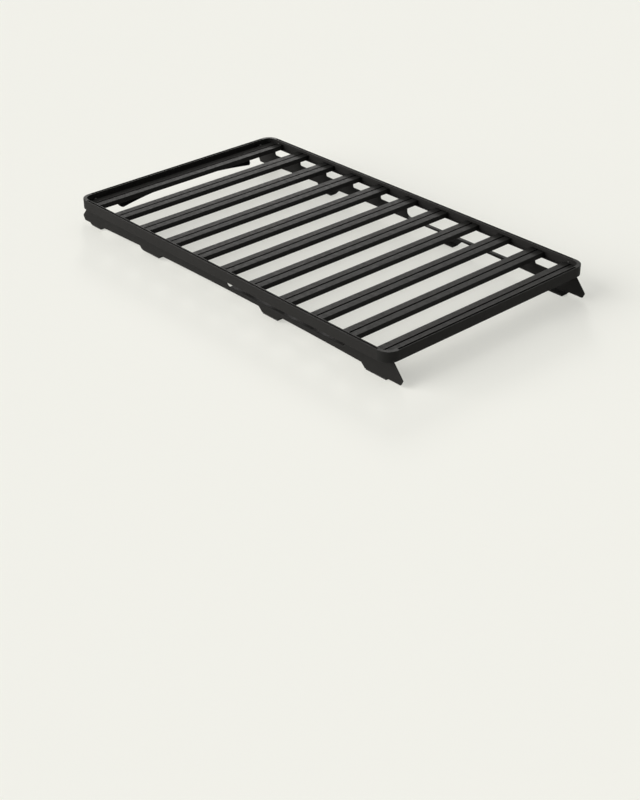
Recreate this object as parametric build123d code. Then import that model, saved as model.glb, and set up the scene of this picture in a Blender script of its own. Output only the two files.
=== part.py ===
from build123d import *
import os
from math import sqrt

# A flat platform roof rack: a shallow tray of cross slats in a rim of extruded rails,
# carried on two bent foot rails. The origin is on the level that the feet stand on,
# in the middle of the tray. +X is the right side, +Y the front, +Z up. Millimetres.

# Tray
tray_width = 1244.0
tray_length = 2176.0
rim_top = 157.0

# Rail extrusion
rail_width = 18.0
rail_height = 50.0
rail_web = 3.5
rail_flange = 3.0
rail_head = 14.0
edge_break = 1.2
groove_mouth = 10.5
groove_lip = 2.5
groove_width = 13.0
groove_depth = 9.0

# Corner castings
corner_radius = 58.0
corner_collar = 8.0
corner_web = 4.0
lug_length = 40.0

# Slats
slat_count = 11
end_slat_inset = 73.0
slat_width = 79.0
slat_height = 24.0
slat_wall = 2.5
slot_mouth = 9.0
slot_lip = 3.0
slot_width = 17.0
slot_depth = 9.5

# Foot rails
foot_inset = 45.0
plate_thickness = 4.0
plate_shoulder = 84.0
plate_end_inset = 17.0
plate_end_overhang = 43.0
plate_end_height = 36.0
plate_toe_overhang = 31.0
plate_toe_height = 12.0
plate_end_radius = 6.0
arc_rear_height = 23.0
arc_middle_height = 37.5
arc_front_height = 18.0
strip_top = 57.0
notch_front = -7.0
notch_radius = 20.0
notch_flange_reach = 22.0
tab_width = 44.0
tab_fillet = 9.0
tab_reach = 38.0
bend_radius = 2.0
tab_slats = (0, 1, 2, 3, 4, 5, 9, 10)
notch_slats = (5, 9)

# Feet, from the front: the slat that each is by, how far its middle is before that slat's middle,
# its length, and the level of its pad
foot_slats = (0, 2, 6, 10)
foot_offsets = (10.0, -35.0, -102.0, 43.0)
foot_lengths = (80.0, 134.0, 104.0, 125.0)
foot_levels = (0.0, 10.0, 10.0, 0.0)
foot_root = 8.0
base_reach = 42.0
pad_thickness = 4.0
pad_margin = 2.0
bolt_hole = 4.5
bolt_spacing = 60.0

# Wind deflector
deflector_width = 864.0
deflector_thickness = 3.0
deflector_back = 72.0
deflector_end_height = 62.0
deflector_middle_height = 85.0
deflector_end_radius = 24.0
deflector_bend = 8.0
deflector_flange = 13.0

clearance = 0.3

# Levels and places that follow from the sizes above
rail_bottom = rim_top - rail_height
slat_bottom = rail_bottom + rail_flange
slat_top = slat_bottom + slat_height
half_width = tray_width / 2
half_length = tray_length / 2
corner_reach = corner_radius + corner_collar
plate_outer = half_width - foot_inset
plate_inner = plate_outer - plate_thickness
end_slat_y = half_length - end_slat_inset
slat_pitch = 2 * end_slat_y / (slat_count - 1)
bolt_slack = 1.0


def slat_y(index):
    return end_slat_y - index * slat_pitch


def foot_y(index):
    return slat_y(foot_slats[index]) + foot_offsets[index]


# The tabs are under the middles of the slats, but the middle one starts where the notch ends.
def tab_y(index):
    if index == notch_slats[0]:
        return notch_front + tab_width / 2
    return slat_y(index)


def slot_section(mouth, lip, width, depth):
    neck = Rectangle(mouth, lip, align=(Align.CENTER, Align.MAX))
    head = Pos(0, -lip) * Rectangle(width, depth - lip, align=(Align.CENTER, Align.MAX))
    return neck + head


# The rail's section, with its outer face on the left: a head with an accessory groove,
# a thin web, and a flange that the slats lie on.
def rail_section():
    outline = Rectangle(rail_width, rail_height, align=(Align.MIN, Align.MIN))
    outline = chamfer(outline.vertices().group_by(Axis.X)[0], edge_break)
    channel_height = rail_height - rail_head - rail_flange
    channel = Rectangle(rail_width, channel_height, align=(Align.MIN, Align.MIN))
    groove = slot_section(groove_mouth, groove_lip, groove_width, groove_depth)
    return outline - Pos(rail_web, rail_flange) * channel - Pos(rail_width / 2, rail_height) * groove


def side_rail():
    length = tray_length - 2 * corner_reach
    start = Plane(origin=(half_width, -length / 2, rail_bottom), x_dir=(-1, 0, 0), z_dir=(0, 1, 0))
    return extrude(start * rail_section(), amount=length, dir=(0, 1, 0))


def end_rail():
    length = tray_width - 2 * corner_reach
    start = Plane(origin=(length / 2, half_length, rail_bottom), x_dir=(0, -1, 0), z_dir=(-1, 0, 0))
    return extrude(start * rail_section(), amount=length, dir=(-1, 0, 0))


# The plan of a strip that turns the corner, as wide as asked, with its outer side on the rim.
def corner_plan(width):
    outer = Rectangle(corner_reach, corner_reach, align=(Align.MIN, Align.MIN))
    outer = fillet(outer.vertices().sort_by_distance((corner_reach, corner_reach, 0))[0], corner_radius)
    inner_reach = corner_reach - width
    inner = Rectangle(inner_reach, inner_reach, align=(Align.MIN, Align.MIN))
    inner = fillet(inner.vertices().sort_by_distance((inner_reach, inner_reach, 0))[0], corner_radius - width)
    return outer - inner


# The edges of a casting's flat face that lie on the rim's outside: the arc and its two ends.
def rim_edges(face):
    inside = corner_reach - edge_break
    straight = face.edges().filter_by(lambda edge: max((edge @ 0.5).X, (edge @ 0.5).Y) > inside)
    arcs = face.edges().filter_by(GeomType.CIRCLE)
    return straight + arcs.filter_by(lambda edge: abs(edge.radius - corner_radius) < edge_break)


# A corner casting: solid above the slats, thin below so that the end slat tucks in,
# with one lug in the end rail's channel and one above the slats in the side rail's channel.
def corner_casting():
    place = Pos(half_width - corner_reach, half_length - corner_reach, 0)
    head_bottom = slat_top + clearance
    flange = extrude(corner_plan(rail_width), rail_flange)
    web = extrude(corner_plan(corner_web), head_bottom - rail_bottom)
    head = extrude(corner_plan(rail_width), rim_top - head_bottom)
    casting = Pos(0, 0, rail_bottom) * (flange + web) + Pos(0, 0, head_bottom) * head
    channel_depth = rail_width - rail_web - clearance
    channel_top = rim_top - rail_head - clearance
    lug_width = channel_depth - clearance
    lug_start = corner_reach - rail_width + clearance
    root = corner_collar / 2
    side_height = channel_top - head_bottom
    side_lug = Box(lug_width, lug_length + root, side_height, align=(Align.MIN, Align.MAX, Align.MIN))
    casting += Pos(lug_start, root, head_bottom) * side_lug
    end_bottom = rail_bottom + rail_flange + clearance
    end_height = channel_top - end_bottom
    end_lug = Box(lug_length + root, lug_width, end_height, align=(Align.MAX, Align.MIN, Align.MIN))
    casting += Pos(root, lug_start, end_bottom) * end_lug
    top_face = casting.faces().sort_by(Axis.Z)[-1]
    bottom_face = casting.faces().sort_by(Axis.Z)[0]
    return place * chamfer(rim_edges(top_face) + rim_edges(bottom_face), edge_break)


# How far a slat reaches from the middle of the tray: to the side rail's web,
# or, where it lies beside a corner, to the inside of the casting's web.
def slat_reach(index):
    web_reach = half_width - rail_web - clearance
    edge_y = abs(slat_y(index)) + slat_width / 2
    into_corner = edge_y - (half_length - corner_radius)
    if into_corner <= 0:
        return web_reach
    inner_radius = corner_radius - corner_web - clearance
    corner_web_reach = half_width - corner_radius + sqrt(inner_radius**2 - into_corner**2)
    return min(web_reach, corner_web_reach)


def slat_section():
    outline = Rectangle(slat_width, slat_height)
    outline = chamfer(outline.vertices(), edge_break)
    slot = slot_section(slot_mouth, slot_lip, slot_width, slot_depth)
    outline -= Pos(0, slat_height / 2) * slot
    outline -= Pos(0, -slat_height / 2) * Rot(0, 0, 180) * slot
    chamber_width = (slat_width - slot_width) / 2 - 2 * slat_wall
    chamber_height = slat_height - 2 * slat_wall
    chamber_middle = slot_width / 2 + slat_wall + chamber_width / 2
    chamber = Rectangle(chamber_width, chamber_height)
    return outline - Pos(chamber_middle, 0) * chamber - Pos(-chamber_middle, 0) * chamber


def slat(index):
    reach = slat_reach(index)
    middle_height = slat_bottom + slat_height / 2
    start = Plane(origin=(-reach, slat_y(index), middle_height), x_dir=(0, 1, 0), z_dir=(1, 0, 0))
    return extrude(start * slat_section(), amount=2 * reach, dir=(1, 0, 0))


# One end of the foot rail's plate, at the front, with its sloping edge beyond the tray.
def plate_end():
    inner_y = end_slat_y - tab_width / 2
    top = rail_bottom - clearance
    outline = Polyline(
        (inner_y, plate_toe_height),
        (inner_y, top),
        (half_length - plate_end_inset, top),
        (half_length + plate_end_overhang, plate_end_height),
        (half_length + plate_toe_overhang, plate_toe_height),
        close=True,
    )
    face = make_face(outline)
    return fillet(face.vertices().filter_by(lambda v: v.X > half_length), plate_end_radius)


# The plate between its ends: a straight shoulder over an arc that follows a crowned roof.
def plate_band():
    front = end_slat_y
    rear = -end_slat_y
    front_foot = (front, arc_front_height)
    rear_foot = (rear, arc_rear_height)
    crown = ThreePointArc(rear_foot, (0, arc_middle_height), front_foot)
    return make_face(crown + Polyline(front_foot, (front, plate_shoulder), (rear, plate_shoulder), rear_foot))


# A foot, with flanks that slope at 45 degrees into the plate.
def foot_profile(index):
    middle = foot_y(index)
    length = foot_lengths[index]
    sole = foot_levels[index] + pad_thickness
    root = arc_middle_height + foot_root
    flank = root - sole
    outline = Polyline(
        (middle - length / 2, sole),
        (middle + length / 2, sole),
        (middle + length / 2 + flank, root),
        (middle - length / 2 - flank, root),
        close=True,
    )
    return make_face(outline)


def plate_outline():
    face = plate_band() + plate_end() + mirror(plate_end(), about=Plane.YZ)
    for index in range(len(foot_slats)):
        face += foot_profile(index)
    tab_height = slat_bottom - plate_shoulder
    tab = Rectangle(tab_width, tab_height, align=(Align.CENTER, Align.MIN))
    for index in tab_slats:
        face += Pos(tab_y(index), plate_shoulder) * tab
    inner_roots = face.vertices().filter_by(
        lambda v: abs(v.Y - plate_shoulder) < clearance and abs(v.X) < end_slat_y
    )
    face = fillet(inner_roots, tab_fillet)
    notch_rear = slat_y(notch_slats[1]) + tab_width / 2
    notch_length = notch_front - notch_rear
    notch = Rectangle(notch_length, slat_top - strip_top, align=(Align.MIN, Align.MIN))
    notch = fillet(notch.vertices().group_by(Axis.Y)[0], notch_radius)
    return face - Pos(notch_rear, strip_top) * notch


# A flange bent inwards from the plate, along Y, with its outer side at the given level.
def bent_flange(middle, length, reach, level, upward):
    leg = reach / 2
    side = Rectangle(plate_thickness, leg, align=(Align.MAX, Align.MAX))
    top = Rectangle(reach, plate_thickness, align=(Align.MAX, Align.MAX))
    section = side + top
    outer = section.vertices().sort_by_distance((0, 0, 0))[0]
    section = fillet(outer, plate_thickness + bend_radius)
    inner = section.vertices().sort_by_distance((-plate_thickness, -plate_thickness, 0))[0]
    section = fillet(inner, bend_radius)
    if not upward:
        section = mirror(section, about=Plane.XZ)
    start = Plane(origin=(plate_outer, middle + length / 2, level), x_dir=(1, 0, 0), z_dir=(0, -1, 0))
    return extrude(start * section, amount=length, dir=(0, -1, 0))


# The two holes of a foot, through the sole and the pad under it.
def foot_holes(index):
    hole_x = plate_inner - (base_reach - plate_thickness) / 2
    depth = pad_thickness + plate_thickness + 2 * bolt_slack
    holes = Part()
    for side in (-1, 1):
        hole = Cylinder(bolt_hole, depth, align=(Align.CENTER, Align.CENTER, Align.MIN))
        holes += Pos(hole_x, foot_y(index) + side * bolt_spacing / 2, foot_levels[index] - bolt_slack) * hole
    return holes


# The right foot rail: one plate with tabs bent in under the slats, soles bent in at the feet,
# and a stiffening flange bent in along the bottom of the notch.
def foot_rail():
    plate = extrude(Plane.YZ.offset(plate_inner) * plate_outline(), amount=plate_thickness, dir=(1, 0, 0))
    edge_cut = Part()
    for index in tab_slats:
        edge_cut += Pos(plate_outer, tab_y(index), slat_bottom) * bend_relief(tab_width)
    for index in range(len(foot_slats)):
        sole = foot_levels[index] + pad_thickness
        edge_cut += Pos(plate_outer, foot_y(index), sole) * bend_relief(foot_lengths[index])
    rail = plate - edge_cut
    for index in tab_slats:
        rail += bent_flange(tab_y(index), tab_width, tab_reach, slat_bottom, True)
    flange_rear = slat_y(notch_slats[1]) + tab_width / 2 + notch_radius
    flange_length = notch_front - notch_radius - flange_rear
    flange_middle = flange_rear + flange_length / 2
    rail -= Pos(plate_outer, flange_middle, strip_top) * bend_relief(flange_length)
    rail += bent_flange(flange_middle, flange_length, notch_flange_reach, strip_top, True)
    for index in range(len(foot_slats)):
        sole = foot_levels[index] + pad_thickness
        rail += bent_flange(foot_y(index), foot_lengths[index], base_reach, sole, False)
        rail -= foot_holes(index)
    return rail


# What the bend takes off the plate's square edge, so that the flange's round outside shows.
def bend_relief(length):
    size = 2 * (plate_thickness + bend_radius)
    return Box(size, length, size)


def foot_pad(index):
    length = foot_lengths[index] - 2 * pad_margin
    width = base_reach - 2 * pad_margin
    pad_x = plate_outer - base_reach / 2
    block = Box(width, length, pad_thickness, align=(Align.CENTER, Align.CENTER, Align.MIN))
    return Pos(pad_x, foot_y(index), foot_levels[index]) * block - foot_holes(index)


# The deflector: a sheet with a flange that bolts up against the front rail. From the flange it
# leans back and down under the tray, to a lower edge that is higher in the middle and round
# at its ends.
def wind_deflector():
    front_y = half_length - rail_width / 2 + deflector_flange / 2
    bend_y = front_y - deflector_flange
    bottom_y = half_length - deflector_back
    top_z = rail_bottom - deflector_thickness / 2
    foot = (bottom_y, deflector_end_height)
    path = FilletPolyline((front_y, top_z), (bend_y, top_z), foot, radius=deflector_bend)
    section = trace(path, deflector_thickness)
    sheet = extrude(Plane.YZ.offset(-deflector_width / 2) * section, amount=deflector_width, dir=(1, 0, 0))
    half = deflector_width / 2
    left_foot = (-half, deflector_end_height)
    right_foot = (half, deflector_end_height)
    crown = ThreePointArc(right_foot, (0, deflector_middle_height), left_foot)
    front_view = make_face(crown + Polyline(left_foot, (-half, rim_top), (half, rim_top), right_foot))
    front_view = fillet(front_view.vertices().group_by(Axis.Y)[0], deflector_end_radius)
    cutter = extrude(Plane.XZ * front_view, amount=half_length * 2, both=True)
    return sheet & cutter


def write(name, part):
    export_step(part, "parts/" + name + ".step")


os.makedirs("parts", exist_ok=True)

right_rail = side_rail()
write("side_rail_right", right_rail)
write("side_rail_left", mirror(right_rail, about=Plane.YZ))

front = end_rail()
write("front_rail", front)
write("rear_rail", mirror(front, about=Plane.XZ))

front_right = corner_casting()
front_left = mirror(front_right, about=Plane.YZ)
write("corner_front_right", front_right)
write("corner_front_left", front_left)
write("corner_rear_right", mirror(front_right, about=Plane.XZ))
write("corner_rear_left", mirror(front_left, about=Plane.XZ))

for index in range(slat_count):
    write("slat_{:02d}".format(index + 1), slat(index))

right_foot_rail = foot_rail()
write("foot_rail_right", right_foot_rail)
write("foot_rail_left", mirror(right_foot_rail, about=Plane.YZ))

for index in range(len(foot_slats)):
    pad = foot_pad(index)
    write("foot_pad_right_{}".format(index + 1), pad)
    write("foot_pad_left_{}".format(index + 1), mirror(pad, about=Plane.YZ))

write("wind_deflector", wind_deflector())
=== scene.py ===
import bpy
import bmesh
import math
from mathutils import Matrix, Vector


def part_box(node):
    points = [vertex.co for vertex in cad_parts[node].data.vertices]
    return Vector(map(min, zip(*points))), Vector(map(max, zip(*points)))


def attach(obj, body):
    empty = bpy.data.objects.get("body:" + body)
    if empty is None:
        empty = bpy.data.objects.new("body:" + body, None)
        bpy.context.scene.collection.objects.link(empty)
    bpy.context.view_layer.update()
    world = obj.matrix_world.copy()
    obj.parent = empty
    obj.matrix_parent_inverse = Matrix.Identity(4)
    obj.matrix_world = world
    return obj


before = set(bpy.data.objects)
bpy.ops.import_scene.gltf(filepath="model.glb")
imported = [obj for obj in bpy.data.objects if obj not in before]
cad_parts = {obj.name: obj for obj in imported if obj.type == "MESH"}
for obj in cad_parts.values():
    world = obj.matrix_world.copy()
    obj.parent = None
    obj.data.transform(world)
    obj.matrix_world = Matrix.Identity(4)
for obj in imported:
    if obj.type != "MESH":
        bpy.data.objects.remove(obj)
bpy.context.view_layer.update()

# Rails. Four lengths of extruded aluminium make the rim, with an accessory groove along the
# top. They are powder coated in satin black after cutting, so the coat runs over the ends too.
cloud_scale = 7.0
darkest_share = 0.86
lightest_share = 1.16
speck_scale = 1400.0
speck_share = 0.25
speck_depth = 0.0004
worn_edge_radius = 0.0012
worn_edge_starts = 0.995
worn_edge_ends = 0.80
rub_scale = 45.0
rubbed_smoother = 0.05
rubbed_rougher = 0.06
coat_reflection = 0.06

# These are the sockets of a mix node that mixes two colours.
mix_share = 0
mix_first = 6
mix_second = 7
mixed_colour = 2


def noise(nodes, links, scale, detail):
    place = nodes.new("ShaderNodeTexCoord")
    texture = nodes.new("ShaderNodeTexNoise")
    texture.inputs["Scale"].default_value = scale
    texture.inputs["Detail"].default_value = detail
    links.new(place.outputs["Object"], texture.inputs["Vector"])
    return texture


def two_shades(nodes, links, share, dark, light):
    shades = nodes.new("ShaderNodeMix")
    shades.data_type = "RGBA"
    shades.inputs[mix_first].default_value = (*dark, 1.0)
    shades.inputs[mix_second].default_value = (*light, 1.0)
    links.new(share, shades.inputs[mix_share])
    return shades


def worn_edges(nodes, links, soft_edge, rubs):
    face = nodes.new("ShaderNodeNewGeometry")
    bend = nodes.new("ShaderNodeVectorMath")
    bend.operation = "DOT_PRODUCT"
    links.new(soft_edge.outputs["Normal"], bend.inputs[0])
    links.new(face.outputs["Normal"], bend.inputs[1])
    edge = nodes.new("ShaderNodeMapRange")
    edge.inputs["From Min"].default_value = worn_edge_starts
    edge.inputs["From Max"].default_value = worn_edge_ends
    links.new(bend.outputs["Value"], edge.inputs["Value"])
    worn = nodes.new("ShaderNodeMath")
    worn.operation = "MULTIPLY"
    links.new(edge.outputs["Result"], worn.inputs[0])
    links.new(rubs.outputs["Fac"], worn.inputs[1])
    return worn


def powder_coat(name, colour, roughness, grain, chalk):
    coat = bpy.data.materials.new(name)
    coat.use_nodes = True
    nodes = coat.node_tree.nodes
    links = coat.node_tree.links
    shader = nodes["Principled BSDF"]

    clouds = noise(nodes, links, scale=cloud_scale, detail=6.0)
    clouds.inputs["Roughness"].default_value = 0.6
    dark = [channel * darkest_share for channel in colour]
    light = [channel * lightest_share for channel in colour]
    tint = two_shades(nodes, links, clouds.outputs["Fac"], dark, light)

    specks = noise(nodes, links, scale=speck_scale, detail=2.0)
    speckle = nodes.new("ShaderNodeMix")
    speckle.data_type = "RGBA"
    speckle.blend_type = "MULTIPLY"
    speckle.inputs[mix_share].default_value = speck_share
    links.new(tint.outputs[mixed_colour], speckle.inputs[mix_first])
    links.new(specks.outputs["Fac"], speckle.inputs[mix_second])

    soft_edge = nodes.new("ShaderNodeBevel")
    soft_edge.samples = 4
    soft_edge.inputs["Radius"].default_value = worn_edge_radius
    rubs = noise(nodes, links, scale=rub_scale, detail=5.0)
    worn = worn_edges(nodes, links, soft_edge, rubs)
    chalky = two_shades(nodes, links, worn.outputs["Value"], colour, (chalk, chalk, chalk))
    links.new(speckle.outputs[mixed_colour], chalky.inputs[mix_first])
    links.new(chalky.outputs[mixed_colour], shader.inputs["Base Color"])

    sheen = nodes.new("ShaderNodeMapRange")
    sheen.inputs["From Min"].default_value = 0.3
    sheen.inputs["From Max"].default_value = 0.7
    sheen.inputs["To Min"].default_value = roughness - rubbed_smoother
    sheen.inputs["To Max"].default_value = roughness + rubbed_rougher
    links.new(rubs.outputs["Fac"], sheen.inputs["Value"])
    links.new(sheen.outputs["Result"], shader.inputs["Roughness"])

    peel = nodes.new("ShaderNodeBump")
    peel.inputs["Strength"].default_value = grain
    peel.inputs["Distance"].default_value = speck_depth
    links.new(specks.outputs["Fac"], peel.inputs["Height"])
    links.new(soft_edge.outputs["Normal"], peel.inputs["Normal"])
    links.new(peel.outputs["Normal"], shader.inputs["Normal"])
    shader.inputs["Specular IOR Level"].default_value = coat_reflection
    return coat


def finish_nodes(names, coat):
    for name in names:
        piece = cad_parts[name]
        piece.data.materials.clear()
        piece.data.materials.append(coat)


# The rails' coat is the same satin black as the other parts, but its base colour is a little
# lighter, which paints light onto the rails' outer faces.
rail_coat = powder_coat(
    "rail_satin_black", colour=(0.019, 0.0184, 0.0178), roughness=0.56, grain=0.25, chalk=0.05
)
finish_nodes(["side_rail_left", "side_rail_right", "front_rail", "rear_rail"], rail_coat)

# Corner castings. Die-cast aluminium quarter rounds that plug into the rails' channels, with
# the same black coat. The cast skin under it is a little more uneven than the extrusion's.
corner_coat = powder_coat(
    "corner_satin_black", colour=(0.016, 0.016, 0.0155), roughness=0.52, grain=0.35, chalk=0.06
)
corners = ["corner_%s_%s" % (end, side) for end in ("front", "rear") for side in ("left", "right")]
finish_nodes(corners, corner_coat)

# Slats. Eleven lengths of flat box extrusion with a T-slot along the top and the underside.
# Their satin black coat has a fine texture that shows the most on the wide tops.
slat_count = 11
slat_coat = powder_coat(
    "slat_fine_texture_black", colour=(0.015, 0.0146, 0.0142), roughness=0.60, grain=0.40, chalk=0.05
)
slats = ["slat_%02d" % number for number in range(1, slat_count + 1)]
finish_nodes(slats, slat_coat)

# Foot rails. Two long steel plates, laser cut to their outline with the notch and the feet, and
# then bent in at the tabs, the soles and the notch's flange. They have the same satin black coat.
foot_coat = powder_coat(
    "foot_satin_black", colour=(0.016, 0.0156, 0.0151), roughness=0.58, grain=0.35, chalk=0.05
)
finish_nodes(["foot_rail_left", "foot_rail_right"], foot_coat)

# Foot pads. Strips of hard black rubber, cut from moulded sheet with fine pores. The two bolts
# that go through a foot's sole also go through its pad and clamp it there.
rubber_dark = (0.012, 0.012, 0.012)
rubber_light = (0.028, 0.028, 0.027)
rubber_roughness = 0.82
bloom_scale = 30.0
pore_scale = 700.0
pore_strength = 0.3
pore_depth = 0.0003
pads_on_a_side = 4


def pad_rubber():
    rubber = bpy.data.materials.new("pad_black_rubber")
    rubber.use_nodes = True
    nodes = rubber.node_tree.nodes
    links = rubber.node_tree.links
    shader = nodes["Principled BSDF"]
    bloom = noise(nodes, links, scale=bloom_scale, detail=6.0)
    shade = two_shades(nodes, links, bloom.outputs["Fac"], rubber_dark, rubber_light)
    links.new(shade.outputs[mixed_colour], shader.inputs["Base Color"])
    place = nodes.new("ShaderNodeTexCoord")
    pores = nodes.new("ShaderNodeTexVoronoi")
    pores.inputs["Scale"].default_value = pore_scale
    links.new(place.outputs["Object"], pores.inputs["Vector"])
    dimple = nodes.new("ShaderNodeBump")
    dimple.inputs["Strength"].default_value = pore_strength
    dimple.inputs["Distance"].default_value = pore_depth
    links.new(pores.outputs["Distance"], dimple.inputs["Height"])
    links.new(dimple.outputs["Normal"], shader.inputs["Normal"])
    shader.inputs["Roughness"].default_value = rubber_roughness
    return rubber


pads = []
for side_name in ("left", "right"):
    pads += ["foot_pad_%s_%d" % (side_name, number) for number in range(1, pads_on_a_side + 1)]
finish_nodes(pads, pad_rubber())

# Wind deflector. One aluminium sheet with rounded ends and a raised lower edge, folded along
# its top so that a flange lies under the front rail. It is powder coated like the rails.
deflector_coat = powder_coat(
    "deflector_satin_black", colour=(0.012, 0.012, 0.0118), roughness=0.56, grain=0.30, chalk=0.05
)
finish_nodes(["wind_deflector"], deflector_coat)

# Corner bolts. Button-head socket bolts hold each casting's two lugs in the rails' channels,
# with the heads on the lugs' inner faces. They are steel, blacked with a thin oily finish.
steel_dark = (0.030, 0.030, 0.032)
steel_light = (0.075, 0.074, 0.072)
steel_metallic = 0.7
smear_scale = 160.0
smear_strength = 0.15
smear_depth = 0.0002
oiled_roughness = 0.25
dry_roughness = 0.45

ring_sides = 24
sixth_turn = math.pi / 3
button_profile = [(1.0, 0.0), (1.0, 0.18), (0.94, 0.50), (0.80, 0.80), (0.62, 0.97), (0.55, 1.0)]
socket_mouth_level = 0.96
socket_floor_level = 0.35

side_lug_button = {"head_radius": 0.0040, "head_height": 0.0022, "socket_radius": 0.0018}
end_lug_button = {"head_radius": 0.0070, "head_height": 0.0038, "socket_radius": 0.0030}
lug_gap = 0.0003
lug_length = 0.040
rail_head = 0.014
rail_flange = 0.003
side_lug_bolt_from_tip = 0.018


def bolt_black():
    steel = bpy.data.materials.new("bolt_blacked_steel")
    steel.use_nodes = True
    nodes = steel.node_tree.nodes
    links = steel.node_tree.links
    shader = nodes["Principled BSDF"]
    smear = noise(nodes, links, scale=smear_scale, detail=5.0)
    shade = two_shades(nodes, links, smear.outputs["Fac"], steel_dark, steel_light)
    links.new(shade.outputs[mixed_colour], shader.inputs["Base Color"])
    oil = nodes.new("ShaderNodeMapRange")
    oil.inputs["To Min"].default_value = oiled_roughness
    oil.inputs["To Max"].default_value = dry_roughness
    links.new(smear.outputs["Fac"], oil.inputs["Value"])
    links.new(oil.outputs["Result"], shader.inputs["Roughness"])
    rub = nodes.new("ShaderNodeBump")
    rub.inputs["Strength"].default_value = smear_strength
    rub.inputs["Distance"].default_value = smear_depth
    links.new(smear.outputs["Fac"], rub.inputs["Height"])
    links.new(rub.outputs["Normal"], shader.inputs["Normal"])
    shader.inputs["Metallic"].default_value = steel_metallic
    return steel


def ring_of_points(mesh, seat, height, reach_at):
    points = []
    for step in range(ring_sides):
        angle = 2 * math.pi * (step + 0.5) / ring_sides
        reach = reach_at(angle)
        point = Vector((reach * math.cos(angle), reach * math.sin(angle), height))
        points.append(mesh.verts.new(seat @ point))
    return points


def round_ring(mesh, seat, height, radius):
    return ring_of_points(mesh, seat, height, lambda angle: radius)


def hexagon_ring(mesh, seat, height, flat_radius):
    def reach_at(angle):
        return flat_radius / math.cos(angle % sixth_turn - sixth_turn / 2)

    return ring_of_points(mesh, seat, height, reach_at)


def close_rings(mesh, rings):
    for low, high in zip(rings, rings[1:]):
        for step in range(ring_sides):
            after = (step + 1) % ring_sides
            mesh.faces.new((low[step], low[after], high[after], high[step]))
    mesh.faces.new(list(reversed(rings[0])))
    mesh.faces.new(rings[-1])


def button_bolt(mesh, seat, head_radius, head_height, socket_radius):
    rings = [round_ring(mesh, seat, head_height * h, head_radius * r) for r, h in button_profile]
    rings.append(round_ring(mesh, seat, head_height, socket_radius))
    socket_flat = socket_radius * math.cos(sixth_turn / 2)
    for level in (socket_mouth_level, socket_floor_level):
        rings.append(hexagon_ring(mesh, seat, head_height * level, socket_flat))
    close_rings(mesh, rings)


def bolt_piece(name, add_bolts):
    mesh = bmesh.new()
    add_bolts(mesh)
    bmesh.ops.recalc_face_normals(mesh, faces=mesh.faces)
    data = bpy.data.meshes.new(name)
    mesh.to_mesh(data)
    mesh.free()
    piece = bpy.data.objects.new(name, data)
    bpy.context.scene.collection.objects.link(piece)
    data.materials.append(blacked_steel)
    for face in data.polygons:
        face.use_smooth = len(face.vertices) == 4
    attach(piece, "root")


def corner_bolts(mesh):
    side_rail_lo, side_rail_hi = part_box("side_rail_right")
    front_rail_lo, front_rail_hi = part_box("front_rail")
    slat_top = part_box("slat_01")[1].z
    head_underside = side_rail_hi.z - rail_head
    flange_top = side_rail_lo.z + rail_flange
    side_lug = (side_rail_lo.x + lug_gap, side_rail_hi.y - lug_length + side_lug_bolt_from_tip)
    end_lug = (front_rail_hi.x - lug_length / 2, front_rail_lo.y + lug_gap)
    for side in (-1, 1):
        for end in (-1, 1):
            middle = Vector((side * side_lug[0], end * side_lug[1], (slat_top + head_underside) / 2))
            seat = Matrix.Translation(middle) @ Matrix.Rotation(-side * math.pi / 2, 4, "Y")
            button_bolt(mesh, seat, **side_lug_button)
            middle = Vector((side * end_lug[0], end * end_lug[1], (flange_top + head_underside) / 2))
            seat = Matrix.Translation(middle) @ Matrix.Rotation(end * math.pi / 2, 4, "X")
            button_bolt(mesh, seat, **end_lug_button)


blacked_steel = bolt_black()
bolt_piece("corner_bolts", corner_bolts)

# Tab bolts. A flanged hexagon bolt under each tab of the foot rails goes up into a nut in the
# slat's lower slot. They are the same blacked steel, with the washer face forged on.
hexagon_width = 0.013
hexagon_height = 0.008
hexagon_edge_level = 0.88
hexagon_top_share = 0.90
washer_radius = 0.0095
washer_height = 0.0018
washer_profile = [(1.0, 0.0), (1.0, 0.5), (0.86, 1.0)]
tab_thickness = 0.004
tab_bolt_from_plate = 0.022
slats_with_a_tab = (0, 1, 2, 3, 4, 9, 10)
middle_slat = 5
middle_tab_forward = 0.015


def head_down(x, y, z):
    return Matrix.Translation((x, y, z)) @ Matrix.Rotation(math.pi, 4, "X")


def hexagon_bolt(mesh, seat):
    rings = [round_ring(mesh, seat, washer_height * h, washer_radius * r) for r, h in washer_profile]
    for level in (washer_height, hexagon_height * hexagon_edge_level):
        rings.append(hexagon_ring(mesh, seat, level, hexagon_width / 2))
    rings.append(round_ring(mesh, seat, hexagon_height, hexagon_width / 2 * hexagon_top_share))
    close_rings(mesh, rings)


def middle_of(name):
    lo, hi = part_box(name)
    return (lo.y + hi.y) / 2


slat_middles = [middle_of(name) for name in slats]


def tab_bolts(mesh):
    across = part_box("foot_rail_right")[1].x - tab_bolt_from_plate
    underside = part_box("slat_01")[0].z - tab_thickness
    tab_middles = [slat_middles[number] for number in slats_with_a_tab]
    tab_middles.append(slat_middles[middle_slat] + middle_tab_forward)
    for side in (-1, 1):
        for middle in tab_middles:
            hexagon_bolt(mesh, head_down(side * across, middle, underside))


bolt_piece("tab_bolts", tab_bolts)

# Slat bolts. One button-head bolt of blacked steel at each end of a slat comes up through the
# side rail's flange. The first and the last slat have none, because they lie in the corners.
slat_button = {"head_radius": 0.0060, "head_height": 0.0032, "socket_radius": 0.0026}
slat_bolt_inset = 0.0095


def slat_bolts(mesh):
    rail_lo, rail_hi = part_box("side_rail_right")
    for side in (-1, 1):
        for middle in slat_middles[1:-1]:
            seat = head_down(side * (rail_hi.x - slat_bolt_inset), middle, rail_lo.z)
            button_bolt(mesh, seat, **slat_button)


bolt_piece("slat_bolts", slat_bolts)

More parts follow.
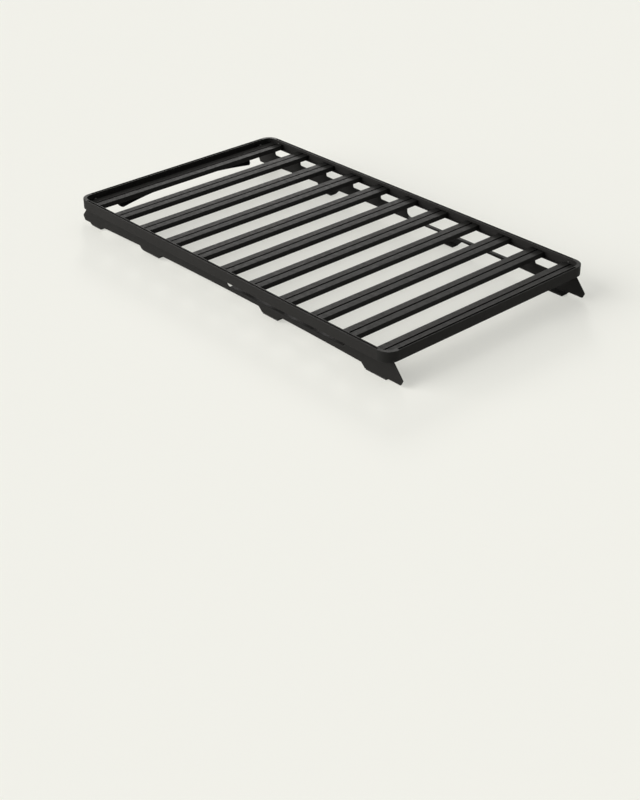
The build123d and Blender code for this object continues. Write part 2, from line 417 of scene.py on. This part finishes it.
# Deflector bolts. Five button-head bolts hold the deflector's flange up against the front
# rail's underside. They are blacked steel like the others, and their heads show from below.
deflector_button = {"head_radius": 0.0050, "head_height": 0.0027, "socket_radius": 0.0022}
deflector_bolt_count = 5
deflector_bolt_pitch = 0.195
deflector_bolt_inset = 0.0085
deflector_sheet = 0.003


def deflector_bolts(mesh):
    rail_lo, rail_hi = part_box("front_rail")
    forward = rail_hi.y - deflector_bolt_inset
    underside = rail_lo.z - deflector_sheet
    for number in range(deflector_bolt_count):
        across = (number - (deflector_bolt_count - 1) / 2) * deflector_bolt_pitch
        button_bolt(mesh, head_down(across, forward, underside), **deflector_button)


bolt_piece("deflector_bolts", deflector_bolts)

# Floor and light. A plain pale studio floor in a pale room, with a low lamp from the front right,
# which draws the rim's shadow on the slats, a large softbox on the left and a faint one overhead.
# The floor and the backdrop show their own pale colour to the camera and in reflections.
floor_reach = 30.0
floor_colour = (0.87, 0.87, 0.83, 1.0)
floor_roughness = 0.9
floor_glow_colour = (0.97, 0.97, 0.90, 1.0)
floor_glow_share = 0.45
room_strength = 0.25
backdrop_colour = (0.87, 0.87, 0.81, 1.0)


def background_rays(nodes, links):
    path = nodes.new("ShaderNodeLightPath")
    seen = path.outputs["Is Camera Ray"]
    for kind in ("Is Glossy Ray", "Is Transmission Ray"):
        either = nodes.new("ShaderNodeMath")
        either.operation = "MAXIMUM"
        links.new(seen, either.inputs[0])
        links.new(path.outputs[kind], either.inputs[1])
        seen = either.outputs["Value"]
    return seen


def floor_paint():
    paint = bpy.data.materials.new("floor_warm_white")
    paint.use_nodes = True
    nodes = paint.node_tree.nodes
    links = paint.node_tree.links
    matt = nodes["Principled BSDF"]
    matt.inputs["Base Color"].default_value = floor_colour
    matt.inputs["Roughness"].default_value = floor_roughness
    matt.inputs["Specular IOR Level"].default_value = 0.0
    glow = nodes.new("ShaderNodeEmission")
    glow.inputs["Color"].default_value = floor_glow_colour
    glow_share = nodes.new("ShaderNodeMath")
    glow_share.operation = "MULTIPLY"
    glow_share.inputs[1].default_value = floor_glow_share
    links.new(background_rays(nodes, links), glow_share.inputs[0])
    both = nodes.new("ShaderNodeMixShader")
    links.new(glow_share.outputs["Value"], both.inputs[0])
    links.new(matt.outputs["BSDF"], both.inputs[1])
    links.new(glow.outputs["Emission"], both.inputs[2])
    links.new(both.outputs["Shader"], nodes["Material Output"].inputs["Surface"])
    return paint


floor_corners = []
for x, y in ((-1, -1), (1, -1), (1, 1), (-1, 1)):
    floor_corners.append((x * floor_reach, y * floor_reach, 0))
floor_mesh = bpy.data.meshes.new("studio_floor")
floor_mesh.from_pydata(floor_corners, [], [(0, 1, 2, 3)])
floor_mesh.materials.append(floor_paint())
studio_floor = bpy.data.objects.new("studio_floor", floor_mesh)
bpy.context.scene.collection.objects.link(studio_floor)


def studio_lamp(name, place, strength, spread, tone):
    data = bpy.data.lights.new(name, "SUN")
    data.energy = strength
    data.angle = spread
    data.color = tone
    light = bpy.data.objects.new(name, data)
    bpy.context.scene.collection.objects.link(light)
    light.location = place
    light.rotation_mode = "QUATERNION"
    light.rotation_quaternion = (-Vector(place)).to_track_quat("-Z", "Y")


studio_lamp(
    "key_front_right", place=(5.2, 6.2, 2.7), strength=1.12, spread=0.20, tone=(1.0, 0.985, 0.96)
)
studio_lamp(
    "softbox_overhead", place=(0.5, 1.0, 8.0), strength=0.35, spread=1.40, tone=(1.0, 1.0, 1.0)
)
studio_lamp(
    "softbox_left", place=(-6.8, 4.0, 2.4), strength=4.6, spread=1.10, tone=(1.0, 0.985, 0.955)
)

room = bpy.data.worlds.new("soft_room")
bpy.context.scene.world = room
room.use_nodes = True
room_nodes = room.node_tree.nodes
room_links = room.node_tree.links
room_light = room_nodes["Background"]
room_light.inputs["Color"].default_value = (1.0, 1.0, 1.0, 1.0)
room_light.inputs["Strength"].default_value = room_strength
backdrop = room_nodes.new("ShaderNodeBackground")
backdrop.inputs["Color"].default_value = backdrop_colour
backdrop.inputs["Strength"].default_value = 1.0
choice = room_nodes.new("ShaderNodeMixShader")
room_links.new(background_rays(room_nodes, room_links), choice.inputs[0])
room_links.new(room_light.outputs["Background"], choice.inputs[1])
room_links.new(backdrop.outputs["Background"], choice.inputs[2])
room_links.new(choice.outputs["Shader"], room_nodes["World Output"].inputs["Surface"])

# Camera. It stands behind the rack, to the left and well above it, with a long lens. Its place,
# its turn and its lens are those that fit the slats' edges in the photograph.
camera_place = (-4.2444, -4.6926, 3.0102)
camera_lens = 65.93
camera_sensor = 36.0
camera_reach = 100.0
yaw = math.radians(42.085)
pitch = math.radians(30.943)
roll = math.radians(-0.283)

ahead = Vector((math.sin(yaw) * math.cos(pitch), math.cos(yaw) * math.cos(pitch), -math.sin(pitch)))
level = Vector((math.cos(yaw), -math.sin(yaw), 0.0))
upward = level.cross(ahead)
right = math.cos(roll) * level + math.sin(roll) * upward
top = -math.sin(roll) * level + math.cos(roll) * upward
facing = Matrix((right, top, -ahead)).transposed()

camera_data = bpy.data.cameras.new("camera")
camera_data.lens = camera_lens
camera_data.sensor_width = camera_sensor
camera_data.clip_end = camera_reach
camera = bpy.data.objects.new("camera", camera_data)
bpy.context.scene.collection.objects.link(camera)
camera.matrix_world = Matrix.Translation(camera_place) @ facing.to_4x4()
bpy.context.scene.camera = camera
bpy.context.scene.view_settings.view_transform = "Standard"
